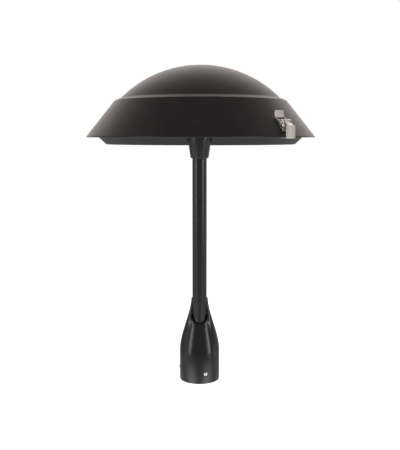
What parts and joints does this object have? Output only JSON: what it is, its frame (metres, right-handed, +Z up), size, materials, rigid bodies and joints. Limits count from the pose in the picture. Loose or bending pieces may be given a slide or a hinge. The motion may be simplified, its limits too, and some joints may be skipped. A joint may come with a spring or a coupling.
{
  "type": "street light",
  "caption": "Side-stem street light: domed canopy hinged over a shallow dish with a flat glass window, on a slim tube in a flared post-top fitter, closed by a draw latch.",
  "frame": {"origin": "centre of the fitter's bottom face, on the axis of the post socket", "axes": "+Z up along the stem, -Y the front, where the stem stands at the head's front rim, +X to the right seen from the front"},
  "size_m": [0.593, 0.6089, 0.745],
  "materials": {
    "black_coat": "satin fine-textured powder coat",
    "stainless": "pressed stainless, brushed",
    "zinc_screws": "zinc plated",
    "bare_aluminium": "mill",
    "rubber": "matte",
    "clear_glass": "clear toughened",
    "board_white": "white solder mask",
    "led_optic": "clear moulded optic",
    "reflector_white": "white semi-matt",
    "driver_case": "moulded",
    "terminal_plastic": "moulded"
  },
  "bodies": {
    "standard": {"post_fitter": "black_coat", "fitter_set_screws": "zinc_screws", "stem_tube": "black_coat", "stem_grub_screws": "zinc_screws", "arm_collar": "black_coat", "collar_lock_screws": "zinc_screws", "collar_bolts": "zinc_screws", "cable_grommet": "rubber", "tray_housing": "black_coat", "rim_gasket": "rubber", "glass_gasket": "rubber", "lens_glass": "clear_glass", "glass_retainer": "bare_aluminium", "retainer_screws": "zinc_screws", "gear_plate": "bare_aluminium", "gear_plate_screws": "zinc_screws", "heat_sink": "bare_aluminium", "gear_part_screws": "zinc_screws", "led_board": "board_white", "led_board_screws": "zinc_screws", "led_lenses": "led_optic", "reflector": "reflector_white", "driver_box": "driver_case", "terminal_block": "terminal_plastic", "hinge_bracket": "black_coat", "hinge_bracket_screws": "zinc_screws", "hinge_pin": "stainless"},
    "canopy": {"canopy_shell": "black_coat", "hinge_leaf": "black_coat", "canopy_rivets": "stainless", "latch_bracket": "stainless", "latch_pivot_pin": "stainless"},
    "lever": {"latch_lever": "stainless", "claw_pin": "stainless"},
    "claw": {"latch_claw": "stainless"}
  },
  "joints": [
    {"name": "canopy_hinge", "type": "hinge", "parent": "standard", "child": "canopy", "pos_m": [-0.21461, 0.47961, 0.5683], "axis": [-0.7071, -0.7071, 0], "range_deg": [0, 100]},
    {"name": "lever_pivot", "type": "hinge", "parent": "canopy", "child": "lever", "pos_m": [0.2027, 0.0623, 0.58668], "axis": [0.7071, 0.7071, 0], "range_deg": [0, 110]},
    {"name": "claw_pivot", "type": "hinge", "parent": "lever", "child": "claw", "pos_m": [0.20083, 0.06417, 0.59764], "axis": [0.7071, 0.7071, 0], "range_deg": [-110, 0]}
  ],
  "couplings": [
    {"joint": "claw_pivot", "follows": "lever_pivot", "ratio": -1}
  ]
}
